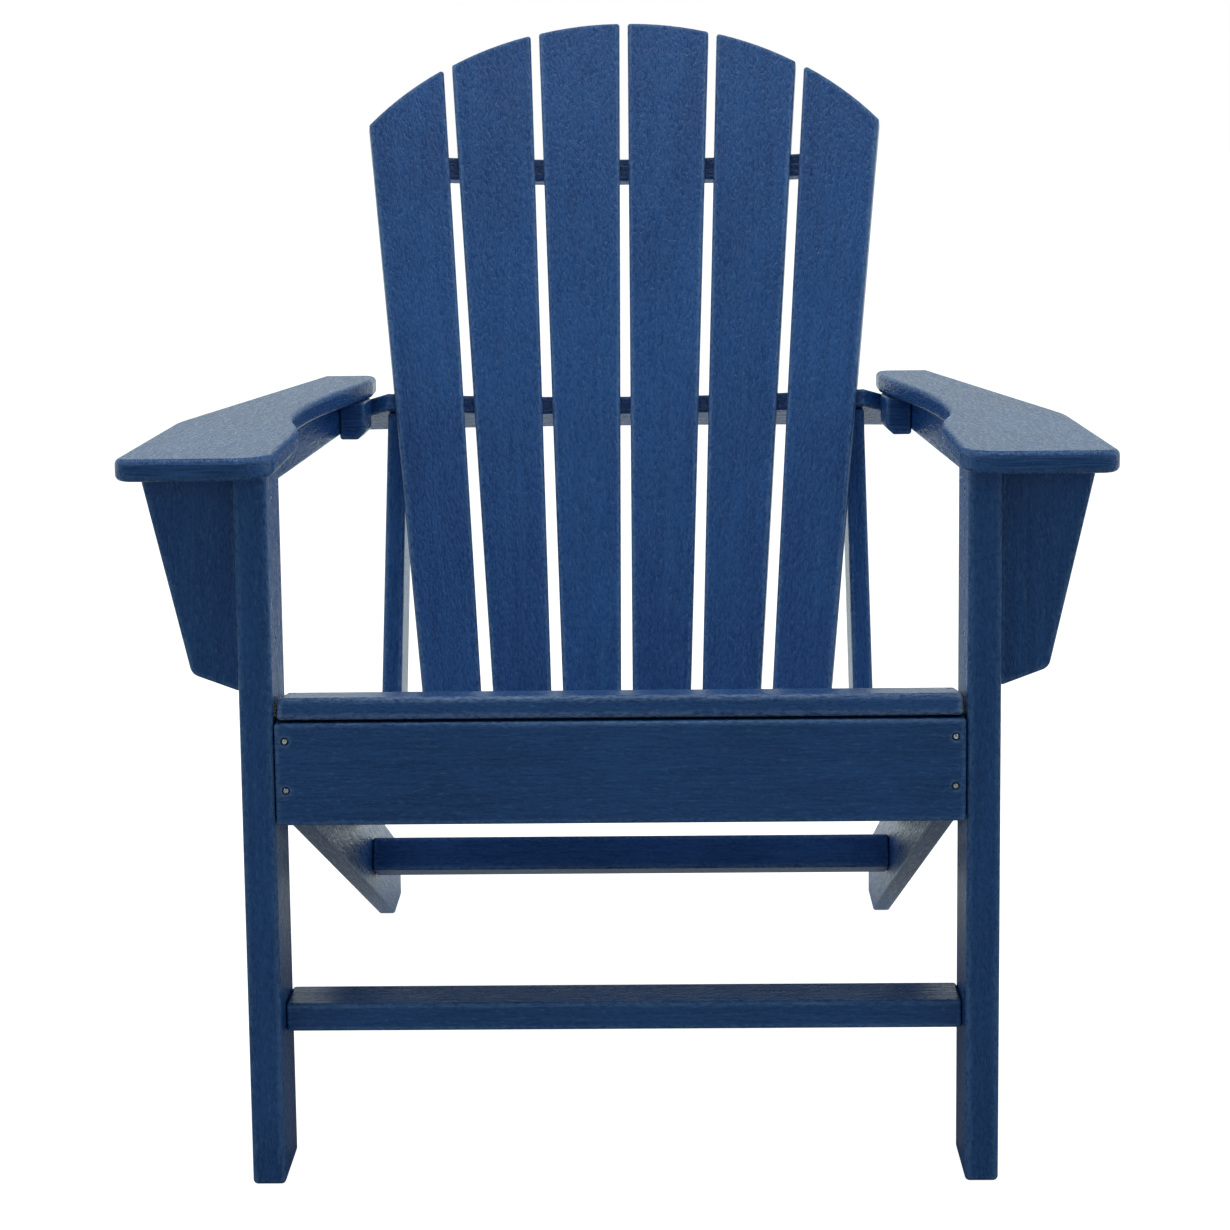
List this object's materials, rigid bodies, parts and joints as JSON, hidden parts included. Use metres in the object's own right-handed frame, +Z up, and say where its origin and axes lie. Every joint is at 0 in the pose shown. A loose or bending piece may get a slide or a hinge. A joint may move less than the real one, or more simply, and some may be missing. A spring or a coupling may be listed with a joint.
{
  "type": "adirondack chair",
  "caption": "Slatted outdoor armchair with a low sloping seat, a reclined fan back with an arched top, and wide flat arms; built from solid plastic boards held by steel screws.",
  "frame": {"origin": "on the floor, under the middle of the overall width and the overall length", "axes": "+Z up; -Y is the way the sitter faces; +X is to the right of someone facing the chair, and names with left and right follow that"},
  "size_m": [0.783, 0.865, 0.9502],
  "materials": {
    "plastic_board": "satin, fine wood-grain embossing, coloured right through",
    "steel_screw": "plain stainless"
  },
  "bodies": {
    "root": {"front_leg_left": "plastic_board", "front_leg_right": "plastic_board", "armrest_left": "plastic_board", "armrest_right": "plastic_board", "arm_bracket_left": "plastic_board", "arm_bracket_right": "plastic_board", "arm_rail_left": "plastic_board", "arm_rail_right": "plastic_board", "arm_block_left": "plastic_board", "arm_block_right": "plastic_board", "seat_stringer_left": "plastic_board", "seat_stringer_right": "plastic_board", "front_apron": "plastic_board", "front_stretcher": "plastic_board", "rear_stretcher": "plastic_board", "seat_slat_1": "plastic_board", "seat_slat_2": "plastic_board", "seat_slat_3": "plastic_board", "seat_slat_4": "plastic_board", "seat_slat_5": "plastic_board", "seat_slat_6": "plastic_board", "back_slat_1": "plastic_board", "back_slat_2": "plastic_board", "back_slat_3": "plastic_board", "back_slat_4": "plastic_board", "back_slat_5": "plastic_board", "back_slat_6": "plastic_board", "upper_back_brace": "plastic_board", "arm_back_brace": "plastic_board", "lower_back_brace": "plastic_board", "back_upright_left": "plastic_board", "back_upright_right": "plastic_board", "apron_screws": "steel_screw", "bracket_screws": "steel_screw", "rail_screws": "steel_screw", "armrest_screws": "steel_screw", "leg_screws": "steel_screw", "front_stretcher_screws": "steel_screw", "rear_stretcher_screws": "steel_screw", "seat_slat_screws": "steel_screw", "upper_brace_screws": "steel_screw", "arm_brace_screws": "steel_screw", "lower_brace_screws": "steel_screw", "upright_screws": "steel_screw", "lower_brace_end_screws": "steel_screw", "arm_end_screws": "steel_screw"}
  },
  "joints": []
}
